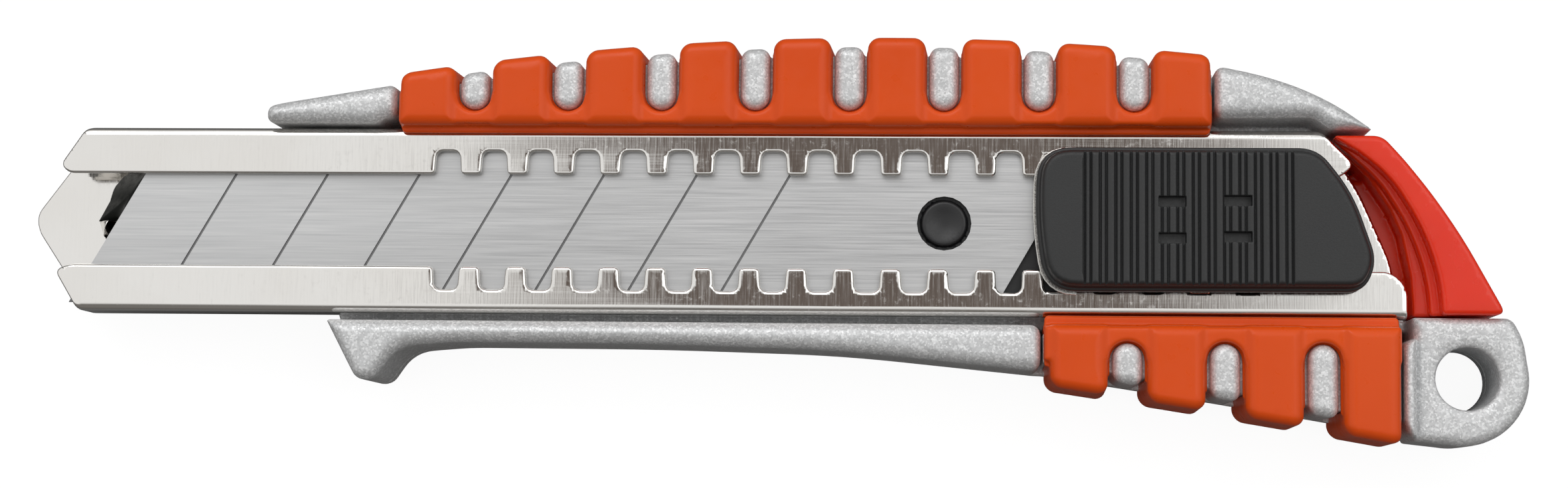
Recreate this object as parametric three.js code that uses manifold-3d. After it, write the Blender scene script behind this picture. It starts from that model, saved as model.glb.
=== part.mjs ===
// Heavy-duty utility knife for 18 mm snap-off blades, lying on its back, +Z out of its front face.
// The knife points along -X, its cutting edge faces -Y. Millimetres.
// Everything is drawn around the middle line of the blade channel; the last lines move the origin
// to the middle of the back face.
import * as THREE from 'three';
import { mergeVertices } from 'three/addons/utils/BufferGeometryUtils.js';
import Module from 'manifold-3d';

const wasm = await Module();
wasm.setup();

// ---- Driving dimensions ----

const ARC_STEPS = 4;                 // straight pieces in each rounded corner
const ROUND_STEPS = 20;              // sides of a round hole or pin
const FIT = 0.12;                    // clearance between pieces that touch
const LONG = 400;                    // longer than anything, for cutting tools

// Snap-off blade: the standard 18 mm size
const BLADE_WIDTH = 18;
const BLADE_LENGTH = 100;
const BLADE_THICKNESS = 0.5;
const BLADE_SLANT = Math.tan(THREE.MathUtils.degToRad(30));   // x gained per mm of y
const BLADE_FRONT_X = -72.45;        // where the front slant crosses the middle line
const SEGMENT_PITCH = 10;
const SCORE_COUNT = 7;
const SCORE_WIDTH = 0.3;
const SCORE_DEPTH = 0.14;
const BLADE_HOLE = { x: 17, radius: 2.9 };
const EDGE_BEVEL = 1.8;              // width of the ground cutting edge
const EDGE_THICKNESS = 0.1;

// Layers, from the back face up
const COVER_BACK_Z = 0;
const SEAM_Z = 2.6;                  // back cover meets the front frame
const MAGAZINE_Z = [1.5, 3.6];
const WEB_Z = [3.6, 4.75];
const CHANNEL_Z = [4.9, 10.5];
const BLADE_Z = 8.95;                // underside of the blade
const FLANGE_FRONT_Z = 12.5;
const LUG_FRONT_Z = 11;
const GRIP_Z = [0, 13.5];
const GRIP_SHEET = 1;                // thickness of the grip on the front and back of the flange

// Blade channel: folded steel sheet
const SHEET = 0.7;
const CHANNEL_HALF = 10.05;
const LIP_HALF = 4.95;               // half the slot between the two lips
const LIP_NOSE_X = -78.1;
const TEETH = { firstX: -33.8, pitch: 5.015, count: 18, tip: 2.2, root: 2.5, rootY: 7.45 };
const UPPER_LIP_REAR_X = 60;
const LOWER_LIP_REAR_X = 65.6;
const UPPER_WALL_X = [-76.2, 56.9];
const LOWER_WALL_X = [-76.5, 65.6];
const RAMP_TOP_Z = 8.6;

// Magazine and its spare blades
const MAGAZINE = { half: 9.3, frontX: -48.3 };
const SPARE_COUNT = 3;
const SPARE_GAP = 0.15;
const SPARE_SHIFT_X = 24.65;         // how far the spares lie behind the working blade

// Rubber grips: a spine along the channel with fingers across the flanges
const UPPER_FINGERS = { firstX: -41.3, pitch: 10.03, count: 9, width: 6.1, corner: 0.9 };
const LOWER_FINGERS = { firstX: 28.2, pitch: 10.15, count: 4, width: 5.9, corner: 1.2 };
const UPPER_SPINE = { low: 9.35, high: 11.5 };
const LOWER_SPINE = { low: -12.6, high: -9.85 };
const FINGER_OVERLAP = 0.6;          // how far a finger reaches into its spine
const LIP_OVERHANG = 0.95;           // the lower spine's lip reaches this far over the channel

// Lanyard lug
const LUG_STEPS = 16;
const LUG = { x: 71.15, y: -16.2, radius: 7, holeX: 71.7, holeY: -16.15, bore: 3.35 };

// Fasteners
const SCREWS = [[-49.6, 12.05], [51.5, 13.6], [-44.6, -13.4], [14, -12.45], [67.9, -20]];
const SCREW = { headRadius: 1.4, headZ: [0.25, 1.25], shankRadius: 0.8, tipZ: 6.4, holeTopZ: 6.8 };
const SCREW_RECESS = { length: 1.96, width: 0.42, topZ: 0.8 };
const RIVETS_X = [-38, 4, 46];
const RIVET = { headRadius: 2.1, headZ: [5.63, 6.15], shankRadius: 1.2, footZ: 3.75 };

// Slider
const CARRIER = { frontX: 9, rearX: 58.2, half: 8.6, corner: 2, z: [6.5, 8.8] };
const BOSS = { radius: 2.45, topZ: 9.55, dishRadius: 1.65, dishDepth: 0.3 };
const SEAT = { frontX: 33.75, rearX: 57.2, half: 7.6 };
const NECK = { frontX: 36.6, rearX: 53.4, half: 3.9, top: 12.1 };
const SPRING = { frontX: 33.2, rearX: 57, half: 7.2, corner: 1, z: [9.4, 9.65] };
const SPRING_WINDOW = { x: [36.2, 53.8], y: [-4.2, 4.2] };
const SPRING_LUG = { notch: 15.5, halfX: 0.95, y: [5.5, 7], topZ: 10.6 };
const PAD = { z: [11.4, 14.4], skirt: 0.35, skirtTop: 12.6, footZ: 10.05, socketTop: 12.9, room: 0.25 };
const PAD_FEET = { beyondNeck: 1.9, halfX: 0.7, halfY: 3.2 };
const RIBS = { count: 11, pitch: 2, firstX: 32.6, width: 0.55, depth: 0.45 };
const WINDOWS = { xs: [40.7, 47.7], y: 2, length: 2.7, width: 1, depth: 0.9 };

// End cap
const CAP_Z = [0.6, 11.6];
const CAP_STEPS = [{ x: 69, floorZ: 9.5 }, { x: 68, floorZ: 8 }, { x: 66.3, floorZ: 4.4 }];
const CAP_TONGUE = { x: [58.2, 64.8], y: [-8.9, 6.1], z: [1.7, 3.4] };

// ---- Helpers ----

// An outline from corners [x, y, radius]; a corner with a radius is rounded off.
function outline(corners) {
  const shape = new THREE.Shape();
  const count = corners.length;
  corners.forEach(([x, y, radius = 0], i) => {
    const corner = new THREE.Vector2(x, y);
    const before = new THREE.Vector2(...corners[(i + count - 1) % count]).sub(corner);
    const after = new THREE.Vector2(...corners[(i + 1) % count]).sub(corner);
    const reach = Math.min(radius, before.length() * 0.49, after.length() * 0.49);
    const start = corner.clone().add(before.setLength(reach));
    const end = corner.clone().add(after.setLength(reach));
    if (i === 0) shape.moveTo(start.x, start.y);
    else shape.lineTo(start.x, start.y);
    if (reach > 0) shape.quadraticCurveTo(x, y, end.x, end.y);
  });
  return shape;
}

function rectangle(xLow, xHigh, yLow, yHigh, radius = 0) {
  return outline([
    [xLow, yLow, radius],
    [xHigh, yLow, radius],
    [xHigh, yHigh, radius],
    [xLow, yHigh, radius],
  ]);
}

function toSolid(geometry) {
  const bare = geometry.index ? geometry : geometry.clone();
  bare.deleteAttribute('normal');
  bare.deleteAttribute('uv');
  const merged = mergeVertices(bare, 1e-4);
  return new wasm.Manifold(new wasm.Mesh({
    numProp: 3,
    vertProperties: new Float32Array(merged.attributes.position.array),
    triVerts: new Uint32Array(merged.index.array),
  }));
}

// A flat outline made into a plate between two heights
function plate(shape, [low, high], steps = ARC_STEPS) {
  const geometry = new THREE.ExtrudeGeometry(shape, {
    depth: high - low,
    bevelEnabled: false,
    curveSegments: steps,
  });
  geometry.translate(0, 0, low);
  return toSolid(geometry);
}

function block(xs, ys, zs) {
  return plate(rectangle(...xs, ...ys), zs);
}

// An upright round bar
function round(x, y, radius, zs) {
  const circle = new THREE.Shape();
  circle.absarc(x, y, radius, 0, Math.PI * 2);
  return plate(circle, zs, ROUND_STEPS / 2);
}

function join(solids) {
  return solids.reduce((whole, piece) => whole.add(piece));
}

function cut(solid, tools) {
  return tools.reduce((rest, tool) => rest.subtract(tool), solid);
}

const knife = new THREE.Group();

function addPiece(name, solid, color, roughness, metalness) {
  const data = solid.getMesh();
  const geometry = new THREE.BufferGeometry();
  geometry.setAttribute('position', new THREE.BufferAttribute(data.vertProperties, 3));
  geometry.setIndex(new THREE.BufferAttribute(data.triVerts, 1));
  geometry.computeVertexNormals();
  const mesh = new THREE.Mesh(
    geometry,
    new THREE.MeshStandardMaterial({ color, roughness, metalness }),
  );
  mesh.name = name;
  knife.add(mesh);
}

// ---- Outlines of the handle ----

// Height of the upper grip's crest and of the lower grip's keel: shallow arcs
const crestY = (x) => 19.38 - 0.0015 * (x - 10) ** 2;
const keelY = (x) => -17.55 - 0.145 * (x - 29) - 0.0004 * (x - 29) ** 2;
const UPPER_RECESS = 0.9;            // the metal lies this far inside the crest
const LOWER_RECESS = 1.55;

function along(edge, from, to, steps) {
  return Array.from({ length: steps + 1 }, (_, i) => {
    const x = from + (to - from) * i / steps;
    return [x, edge(x)];
  });
}

function upperFlangeOutline(room = 0) {
  return outline([
    [-55.9, 10.35, 0.5],
    [-55.9, 12.15, 1],
    [-54.2, 12.55, 1.5],
    [-43.2, 14.35, 0.4],
    ...along((x) => crestY(x) - UPPER_RECESS + room, -41, 44, 8),
    [46.4, 16.6, 0.8],
    [50, 15.85, 2],
    [53.9, 14.65, 3],
    [58, 12.75, 3],
    [62, 9.95, 0.3],
    [57.6, 9.95, 0.6],
    [55.8, 11.2, 0.6],
    [46, 11.1],
    [45.5, 10.9 - room],
    [-43, 10.9 - room, 0.5],
    [-44, 10.3, 0.5],
  ]);
}

function lowerFlangeOutline(room = 0) {
  return outline([
    [-48.95, -10.8, 0.3],
    [-45.55, -17.2, 2.4],
    [-43.6, -17.25, 1.4],
    [-41.2, -13.7, 2.4],
    [-35, -13.15, 2],
    [-14, -13.2, 6],
    [6, -13.75, 6],
    [26.5, -15.75],
    ...along((x) => keelY(x) + LOWER_RECESS - room, 27.5, 64.8, 4),
    [66.3, -22.6, 0.5],
    [66.3, -12.1],
    [64.6, -12.1],
    [64.6, -10.9 + room],
    [27.5, -10.8 + room],
  ]);
}

function lugOutline() {
  const shape = new THREE.Shape();
  shape.moveTo(66.2, -9.75);
  shape.lineTo(74.8, -9.75);
  shape.quadraticCurveTo(75.9, -9.75, 76.5, -11);
  shape.absarc(LUG.x, LUG.y, LUG.radius, 0.7, -1.75, true);
  shape.lineTo(66.2, -22.7);
  return shape;
}

// The web and the back cover fill the handle between the two flanges.
function bodyOutline(room = 0) {
  return outline([
    [-55.3, 10.5, 0.5],
    [-48.7, -11 - room, 0.5],
    [64.5, -11.2 - room],
    [66.3, -10.9],
    [66.3, -9.8, 0.3],
    [64.2, -9.8, 0.3],
    [57.8, 9.95, 0.3],
    [57.8, 11.3 + room],
  ]);
}

function handleOutline(zs) {
  const upper = plate(upperFlangeOutline(), zs);
  const lower = plate(lowerFlangeOutline(), zs);
  return join([plate(bodyOutline(), zs), upper, lower, plate(lugOutline(), zs, LUG_STEPS)]);
}

// ---- Grips ----

function finger(x, width, corner, yRoot, yEnd) {
  return outline([
    [x, yRoot],
    [x + width, yRoot],
    [x + width, yEnd(x + width), corner],
    [x, yEnd(x), corner],
  ]);
}

// A comb: the spine and its fingers. Grown by some room, it is the tool that clears space for one.
function comb(fingers, spine, yEnd, zs, room = 0) {
  const first = fingers.firstX - room;
  const last = fingers.firstX + fingers.pitch * (fingers.count - 1) + fingers.width + room;
  const upward = spine.low > 0;
  const root = upward ? spine.low + FINGER_OVERLAP : spine.high - FINGER_OVERLAP;
  const past = upward ? LONG * room : -LONG * room;
  const corner = room > 0 ? 0 : fingers.corner;
  const solids = [plate(rectangle(first, last, spine.low - room, spine.high + room), zs)];
  for (let i = 0; i < fingers.count; i += 1) {
    const x = fingers.firstX + fingers.pitch * i - room;
    const shape = finger(x, fingers.width + 2 * room, corner, root, (at) => yEnd(at) + past);
    solids.push(plate(shape, zs));
  }
  return join(solids);
}

const upperComb = (zs, room) => comb(UPPER_FINGERS, UPPER_SPINE, crestY, zs, room);
const lowerComb = (zs, room) => comb(LOWER_FINGERS, LOWER_SPINE, keelY, zs, room);

const GRIP_INSIDE_Z = [GRIP_Z[0] + GRIP_SHEET, GRIP_Z[1] - GRIP_SHEET + FIT];

// Clears the casting and the channel out of a comb
function fittedGrip(solid, flange, channelYs) {
  const web = [GRIP_INSIDE_Z[0], WEB_Z[1] + FIT];
  return cut(solid, [
    plate(flange, GRIP_INSIDE_Z),
    plate(bodyOutline(FIT), web),
    block([-LONG, LONG], channelYs, [-1, CHANNEL_Z[1] + FIT]),
  ]);
}

function upperGrip() {
  const channelYs = [-LONG, UPPER_SPINE.high - FINGER_OVERLAP];
  return fittedGrip(upperComb(GRIP_Z), upperFlangeOutline(FIT), channelYs);
}

function lowerGrip() {
  const channelYs = [LOWER_SPINE.high - LIP_OVERHANG, LONG];
  return fittedGrip(lowerComb(GRIP_Z), lowerFlangeOutline(FIT), channelYs);
}

// ---- Castings ----

const SCREW_HEAD_ROOM = SCREW.headRadius + FIT;
const SCREW_SHANK_ROOM = SCREW.shankRadius + FIT;

function screwShanks(zs) {
  return SCREWS.map(([x, y]) => round(x, y, SCREW_SHANK_ROOM, zs));
}

// The spares lie face down, so the front wall of their room leans the other way.
function magazineRoom() {
  const { half, frontX } = MAGAZINE;
  return plate(outline([
    [frontX + BLADE_SLANT * half, -half],
    [LONG, -half],
    [LONG, half],
    [frontX - BLADE_SLANT * half, half],
  ]), MAGAZINE_Z);
}

function lanyardBore() {
  return round(LUG.holeX, LUG.holeY, LUG.bore, [-1, LONG]);
}

function handleFrame() {
  const low = SEAM_Z + FIT / 2;
  const body = join([
    plate(bodyOutline(), [low, WEB_Z[1]]),
    plate(upperFlangeOutline(), [low, FLANGE_FRONT_Z]),
    plate(lowerFlangeOutline(), [low, FLANGE_FRONT_Z]),
    plate(lugOutline(), [low, LUG_FRONT_Z], LUG_STEPS),
  ]);
  const rivetHoles = RIVETS_X.map((x) => round(x, 0, RIVET.shankRadius + FIT, [0, LONG]));
  return cut(body, [
    magazineRoom(),
    lanyardBore(),
    ...screwShanks([0, SCREW.holeTopZ]),
    ...rivetHoles,
  ]);
}

function backCover() {
  const body = handleOutline([COVER_BACK_Z, SEAM_Z - FIT / 2]);
  const gripBack = [-1, GRIP_Z[0] + GRIP_SHEET + FIT];
  const heads = SCREWS.map(([x, y]) => round(x, y, SCREW_HEAD_ROOM, [-1, SCREW.headZ[1] + FIT]));
  return cut(body, [
    upperComb(gripBack, FIT),
    lowerComb(gripBack, FIT),
    magazineRoom(),
    lanyardBore(),
    ...screwShanks([-1, LONG]),
    ...heads,
  ]);
}

function coverScrew([x, y]) {
  const head = round(x, y, SCREW.headRadius, SCREW.headZ);
  const shank = round(x, y, SCREW.shankRadius, [SCREW_RECESS.topZ, SCREW.tipZ]);
  const reach = SCREW_RECESS.length / 2;
  const half = SCREW_RECESS.width / 2;
  const depth = [-1, SCREW_RECESS.topZ];
  return cut(head.add(shank), [
    block([x - reach, x + reach], [y - half, y + half], depth),
    block([x - half, x + half], [y - reach, y + reach], depth),
  ]);
}

function channelRivet(x) {
  const head = round(x, 0, RIVET.headRadius, RIVET.headZ);
  return head.add(round(x, 0, RIVET.shankRadius, [RIVET.footZ, RIVET.headZ[0] + FIT]));
}

// ---- Blade channel ----

function backPlateOutline() {
  return outline([
    [-75.9, CHANNEL_HALF, 0.8],
    [-82.7, 0.9, 2.2],
    [-82.5, -0.9, 2.2],
    [-76.3, -CHANNEL_HALF, 0.8],
    [64.9, -CHANNEL_HALF],
    [64.9, -4.2, 2],
    [61.2, 4.4, 2],
    [57.4, CHANNEL_HALF],
  ]);
}

function upperLipOutline() {
  return outline([
    [-75.9, CHANNEL_HALF, 0.8],
    [-78.7, 5.9, 1.6],
    [-77.8, LIP_HALF, 1.4],
    [57.8, LIP_HALF, 0.6],
    [60.6, 6.2, 1],
    [56.6, CHANNEL_HALF, 0.6],
  ]);
}

function lowerLipOutline() {
  return outline([
    [-76.3, -CHANNEL_HALF, 0.8],
    [-79, -5.6, 1.8],
    [-77.4, -LIP_HALF, 1.6],
    [64, -LIP_HALF, 2.2],
    [LOWER_LIP_REAR_X, -6.6, 2.2],
    [LOWER_LIP_REAR_X, -CHANNEL_HALF],
  ]);
}

// One opening between two teeth, seen from the front
function notchOutline(x, side) {
  const halfTip = (TEETH.pitch - TEETH.tip) / 2;
  const halfRoot = (TEETH.pitch - TEETH.root) / 2;
  return outline([
    [x - halfTip - 0.3, side * (LIP_HALF - 1)],
    [x - halfTip, side * LIP_HALF],
    [x - halfRoot, side * TEETH.rootY, 0.7],
    [x + halfRoot, side * TEETH.rootY, 0.7],
    [x + halfTip, side * LIP_HALF],
    [x + halfTip + 0.3, side * (LIP_HALF - 1)],
  ]);
}

// The floor is pressed up at the mouth to carry the blade's tip.
function mouthRamp() {
  const high = [CHANNEL_Z[0] + SHEET / 2, RAMP_TOP_Z];
  return plate(outline([
    [-75.6, 0.1, 0.3],
    [-72, 6, 1],
    [-63, 6, 0.5],
    [-66, -6, 0.5],
    [-73, -4.5, 1],
  ]), high);
}

function bladeChannel() {
  const inner = CHANNEL_HALF - SHEET;
  const [back, front] = CHANNEL_Z;
  const walls = [
    block(UPPER_WALL_X, [inner, CHANNEL_HALF], CHANNEL_Z),
    block(LOWER_WALL_X, [-CHANNEL_HALF, -inner], CHANNEL_Z),
  ];
  const sheet = join([
    plate(backPlateOutline(), [back, back + SHEET]),
    plate(upperLipOutline(), [front - SHEET, front]),
    plate(lowerLipOutline(), [front - SHEET, front]),
    mouthRamp(),
    ...walls,
  ]);
  const notches = [];
  for (let i = 0; i < TEETH.count; i += 1) {
    const x = TEETH.firstX + TEETH.pitch * (i - 0.5);
    for (const side of [1, -1]) {
      notches.push(plate(notchOutline(x, side), [front - SHEET - FIT, LONG]));
    }
  }
  const rivetHoles = RIVETS_X.map((x) => round(x, 0, RIVET.shankRadius + FIT, [0, back + SHEET + FIT]));
  return cut(sheet, [...notches, ...rivetHoles]);
}

// ---- Blades ----

function bladeOutline() {
  const half = BLADE_WIDTH / 2;
  const front = BLADE_FRONT_X;
  const rear = front + BLADE_LENGTH;
  return outline([
    [front - BLADE_SLANT * half, -half],
    [rear - BLADE_SLANT * half, -half],
    [rear + BLADE_SLANT * half, half],
    [front + BLADE_SLANT * half, half],
  ]);
}

function alongSlant(x, width, zs) {
  const tall = BLADE_WIDTH;
  return plate(outline([
    [x - width / 2 - BLADE_SLANT * tall, -tall],
    [x + width / 2 - BLADE_SLANT * tall, -tall],
    [x + width / 2 + BLADE_SLANT * tall, tall],
    [x - width / 2 + BLADE_SLANT * tall, tall],
  ]), zs);
}

// A wedge that grinds one face of the cutting edge, drawn across the blade and swept along it
function bevelTool(top) {
  const half = BLADE_WIDTH / 2;
  const drop = (BLADE_THICKNESS - EDGE_THICKNESS) / 2;
  const shape = new THREE.Shape();
  shape.moveTo(-half + EDGE_BEVEL, 0);
  shape.lineTo(-half - EDGE_BEVEL, -2 * drop);
  shape.lineTo(-half - EDGE_BEVEL, 1);
  shape.lineTo(-half + EDGE_BEVEL, 1);
  const geometry = new THREE.ExtrudeGeometry(shape, { depth: LONG, bevelEnabled: false });
  geometry.rotateX(Math.PI / 2);
  geometry.rotateZ(Math.PI / 2);
  geometry.translate(-LONG / 2, 0, top);
  return toSolid(geometry);
}

function snapBlade(z) {
  const top = z + BLADE_THICKNESS;
  const tools = [round(BLADE_HOLE.x, 0, BLADE_HOLE.radius, [z - 1, top + 1]), bevelTool(top)];
  for (let i = 1; i <= SCORE_COUNT; i += 1) {
    const x = BLADE_FRONT_X + SEGMENT_PITCH * i;
    tools.push(alongSlant(x, SCORE_WIDTH, [top - SCORE_DEPTH, top + 1]));
  }
  return cut(plate(bladeOutline(), [z, top]), tools);
}

// ---- Slider ----

function slideCarrier() {
  const { frontX, rearX, half, corner, z } = CARRIER;
  const body = plate(rectangle(frontX, rearX, -half, half, corner), z);
  const boss = round(BLADE_HOLE.x, 0, BOSS.radius, [z[0], BOSS.topZ]);
  const seatZ = [z[0], SPRING.z[0] - FIT];
  const seat = block([SEAT.frontX, SEAT.rearX], [-SEAT.half, SEAT.half], seatZ);
  const neck = plate(rectangle(NECK.frontX, NECK.rearX, -NECK.half, NECK.half, 0.8), [z[0], NECK.top]);
  const dish = round(BLADE_HOLE.x, 0, BOSS.dishRadius, [BOSS.topZ - BOSS.dishDepth, LONG]);
  return cut(join([body, boss, seat, neck]), [dish]);
}

// Leaf spring around the slider's neck, with two lugs that stand up into a notch on each side
function lockSpring() {
  const { frontX, rearX, half, corner, z } = SPRING;
  const leaf = plate(rectangle(frontX, rearX, -half, half, corner), z);
  const window = block(SPRING_WINDOW.x, SPRING_WINDOW.y, [0, LONG]);
  const notchX = TEETH.firstX + TEETH.pitch * SPRING_LUG.notch;
  const lugX = [notchX - SPRING_LUG.halfX, notchX + SPRING_LUG.halfX];
  const upperLug = block(lugX, SPRING_LUG.y, [z[0], SPRING_LUG.topZ]);
  return join([cut(leaf, [window]), upperLug, upperLug.mirror([0, 1, 0])]);
}

function padOutline(grow) {
  return outline([
    [27.2 - grow, 7.5 + grow, 3.2],
    [26.9 - grow, 0, 12],
    [28 - grow, -7.05 - grow, 3],
    [60.6 + grow, -6.95 - grow, 1.8],
    [61.8 + grow, -4, 3.5],
    [59.4 + grow, 3, 6],
    [55.9 + grow, 7.5 + grow, 1.8],
  ]);
}

function thumbPad() {
  const [low, high] = PAD.z;
  const skirt = plate(padOutline(PAD.skirt), [low, PAD.skirtTop]);
  const crown = plate(padOutline(0), [low, high]);
  const grooves = Array.from({ length: RIBS.count }, (_, i) => {
    const x = RIBS.firstX + RIBS.pitch * i;
    return block([x, x + RIBS.width], [-LONG, LONG], [high - RIBS.depth, LONG]);
  });
  const windows = WINDOWS.xs.flatMap((x) => [WINDOWS.y, -WINDOWS.y].map((y) => block(
    [x - WINDOWS.length / 2, x + WINDOWS.length / 2],
    [y - WINDOWS.width / 2, y + WINDOWS.width / 2],
    [high - WINDOWS.depth, LONG],
  )));
  const socket = block(
    [NECK.frontX - PAD.room, NECK.rearX + PAD.room],
    [-NECK.half - PAD.room, NECK.half + PAD.room],
    [0, PAD.socketTop],
  );
  const { beyondNeck, halfX, halfY } = PAD_FEET;
  const feet = [NECK.frontX - beyondNeck, NECK.rearX + beyondNeck].map(
    (x) => block([x - halfX, x + halfX], [-halfY, halfY], [PAD.footZ, PAD.skirtTop]),
  );
  return cut(join([skirt, crown, ...feet]), [socket, ...grooves, ...windows]);
}

// ---- End cap ----

function capOutline() {
  return outline([
    [57.9, 9.35, 0.5],
    [63, 9.35, 1],
    [65.3, 6.8, 1],
    [68, 3.4, 2],
    [71.2, -1.3, 3],
    [75.7, -9.5, 1.2],
    [66.4, -9.5, 0.2],
    [66.3, -5.4],
    [65.4, -0.9],
    [64.2, 1.9],
    [62, 5.2],
  ]);
}

// Each step of the stair on the cap's inner side is a crescent.
function capStep(inner, zs) {
  return plate(outline([
    [56, 9.5],
    [inner - 9.1, 8.1, 1.5],
    [inner - 5.2, 5, 3],
    [inner - 1.8, -0.6, 5],
    [inner, -6.4, 4],
    [inner + 0.1, -11],
    [40, -11],
    [40, 9.5],
  ]), zs);
}

function endCap() {
  const stairs = CAP_STEPS.map(({ x, floorZ }) => capStep(x, [floorZ, LONG]));
  const tongue = block(CAP_TONGUE.x, CAP_TONGUE.y, CAP_TONGUE.z);
  return cut(plate(capOutline(), CAP_Z), stairs).add(tongue);
}

// ---- Assembly ----

const CAST_SILVER = '#b9bbbd';
const GRIP_ORANGE = '#d9481c';
const STEEL = '#d5d3cf';

addPiece('handle_frame', handleFrame(), CAST_SILVER, 0.45, 0.7);
addPiece('back_cover', backCover(), CAST_SILVER, 0.45, 0.7);
addPiece('blade_channel', bladeChannel(), STEEL, 0.15, 1);
addPiece('upper_grip', upperGrip(), GRIP_ORANGE, 0.35, 0);
addPiece('lower_grip', lowerGrip(), GRIP_ORANGE, 0.35, 0);
SCREWS.forEach((place, i) => {
  addPiece(`cover_screw_${i + 1}`, coverScrew(place), '#9a9a9c', 0.35, 1);
});
RIVETS_X.forEach((x, i) => {
  addPiece(`channel_rivet_${i + 1}`, channelRivet(x), STEEL, 0.3, 1);
});
for (let i = 0; i < SPARE_COUNT; i += 1) {
  const z = MAGAZINE_Z[0] + SPARE_GAP + i * (BLADE_THICKNESS + SPARE_GAP);
  const spare = snapBlade(z).mirror([0, 1, 0]).translate([SPARE_SHIFT_X, 0, 0]);
  addPiece(`spare_blade_${i + 1}`, spare, '#b4b4b2', 0.35, 1);
}
addPiece('snap_blade', snapBlade(BLADE_Z), '#b4b4b2', 0.35, 1);
addPiece('slide_carrier', slideCarrier(), '#17181a', 0.5, 0);
addPiece('lock_spring', lockSpring(), '#c9c7c0', 0.3, 1);
addPiece('thumb_pad', thumbPad(), '#2b2d2e', 0.6, 0);
addPiece('end_cap', endCap(), '#d63320', 0.25, 0);

// Origin in the middle of the back face
const box = new THREE.Box3().setFromObject(knife);
const centre = box.getCenter(new THREE.Vector3());
knife.position.set(-centre.x, -centre.y, -box.min.z);

export default knife;
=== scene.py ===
"""Looks of the snap-off utility knife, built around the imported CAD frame.

Shapes are worked out in millimetres around the middle line of the blade channel and moved to the
row's frame, in metres, when they become meshes. Cast, moulded and folded pieces are distance fields
on a grid, so their rims and fillets are real rounded surfaces.
"""

import math

import bpy
import numpy as np
import openvdb
from mathutils import Matrix, Vector


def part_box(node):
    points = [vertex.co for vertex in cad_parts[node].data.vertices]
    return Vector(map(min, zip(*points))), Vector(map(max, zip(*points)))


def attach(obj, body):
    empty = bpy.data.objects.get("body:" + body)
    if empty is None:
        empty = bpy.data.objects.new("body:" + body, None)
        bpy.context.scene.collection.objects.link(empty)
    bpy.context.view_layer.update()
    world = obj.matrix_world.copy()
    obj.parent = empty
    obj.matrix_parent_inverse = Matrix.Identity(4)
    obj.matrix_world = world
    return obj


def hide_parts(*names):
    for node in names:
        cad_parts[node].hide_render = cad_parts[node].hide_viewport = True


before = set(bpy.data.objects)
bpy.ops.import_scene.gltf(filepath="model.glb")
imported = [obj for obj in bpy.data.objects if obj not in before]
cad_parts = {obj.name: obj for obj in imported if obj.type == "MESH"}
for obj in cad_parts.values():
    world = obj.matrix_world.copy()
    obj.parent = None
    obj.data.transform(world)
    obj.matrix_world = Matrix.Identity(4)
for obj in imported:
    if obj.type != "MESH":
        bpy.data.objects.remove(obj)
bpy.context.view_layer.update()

MM = 0.001
FINE = 1.0        # coarser grids while trying things

# ---- The knife's own frame: the channel's middle line, taken from the CAD ----

CHANNEL_LOW, CHANNEL_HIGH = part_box("blade_channel")
NOSE_X = -82.611                         # the channel's nose, mm ahead of the knife's own origin
ORIGIN = Vector((
    CHANNEL_LOW.x - NOSE_X * MM,
    (CHANNEL_LOW.y + CHANNEL_HIGH.y) / 2,
    0,
))
SPREAD = np.array(ORIGIN)


def row(point):
    """A point of the knife's own frame, mm, in the row's frame, m."""
    return Vector(point) * MM + ORIGIN


# ---- Dimensions, mm ----

SEAM_Z = 2.6
FLANGE_Z = 12.5
LUG_Z = 11.0
WEB_Z = (3.6, 4.75)
MAGAZINE_Z = (1.5, 3.6)
MAGAZINE_HALF = 9.3
MAGAZINE_FRONT_X = -48.3
SLANT = math.tan(math.radians(30))
CHANNEL_Z = (4.9, 10.5)
CHANNEL_HALF = 10.05
SHEET = 0.7
LIP_HALF = 4.95
GRIP_Z = 13.5
CREST_RECESS = 0.9
KEEL_RECESS = 1.55
LUG = (71.15, -16.2)
LUG_RADIUS = 7.0
LUG_HOLE = (71.7, -16.15)
LUG_BORE = 3.3
SCREWS = ((-49.6, 12.05), (51.5, 13.6), (-44.6, -13.4), (14, -12.45), (67.9, -20))
TEETH_FIRST_X = -33.8
TEETH_PITCH = 5.015
TEETH_COUNT = 18
BLADE_HOLE_X = 17
RIVETS_X = (-38, 4, 46)
SPARE_COUNT = 3


def crest(x):
    """Height of the upper grip's back."""
    return 19.5 - 0.0015 * (x - 10) ** 2


def keel(x):
    """Height of the lower grip's underside."""
    return -17.55 - 0.145 * (x - 29) - 0.0004 * (x - 29) ** 2


# ---- Outlines ----

def outline(corners, steps=6):
    """Closed outline through corners (x, y) or (x, y, radius); a radius rounds its corner off."""
    points = []
    count = len(corners)
    for i, corner in enumerate(corners):
        here = np.array(corner[:2], float)
        radius = corner[2] if len(corner) > 2 else 0
        before = np.array(corners[i - 1][:2], float) - here
        after = np.array(corners[(i + 1) % count][:2], float) - here
        reach = min(radius, 0.49 * np.hypot(*before), 0.49 * np.hypot(*after))
        if reach <= 0:
            points.append(here)
            continue
        start = here + before / np.hypot(*before) * reach
        end = here + after / np.hypot(*after) * reach
        for t in np.linspace(0, 1, steps + 1):
            points.append((1 - t) ** 2 * start + 2 * t * (1 - t) * here + t * t * end)
    return np.array(points)


def along(edge, start, end, steps):
    return [(x, edge(x)) for x in np.linspace(start, end, steps + 1)]


def arc(centre, radius, start, end, steps=24):
    angles = np.linspace(math.radians(start), math.radians(end), steps + 1)
    return [(centre[0] + radius * math.cos(a), centre[1] + radius * math.sin(a)) for a in angles]


def rectangle(x_low, x_high, y_low, y_high, radius=0):
    return outline([
        (x_low, y_low, radius), (x_high, y_low, radius),
        (x_high, y_high, radius), (x_low, y_high, radius),
    ])


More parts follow.
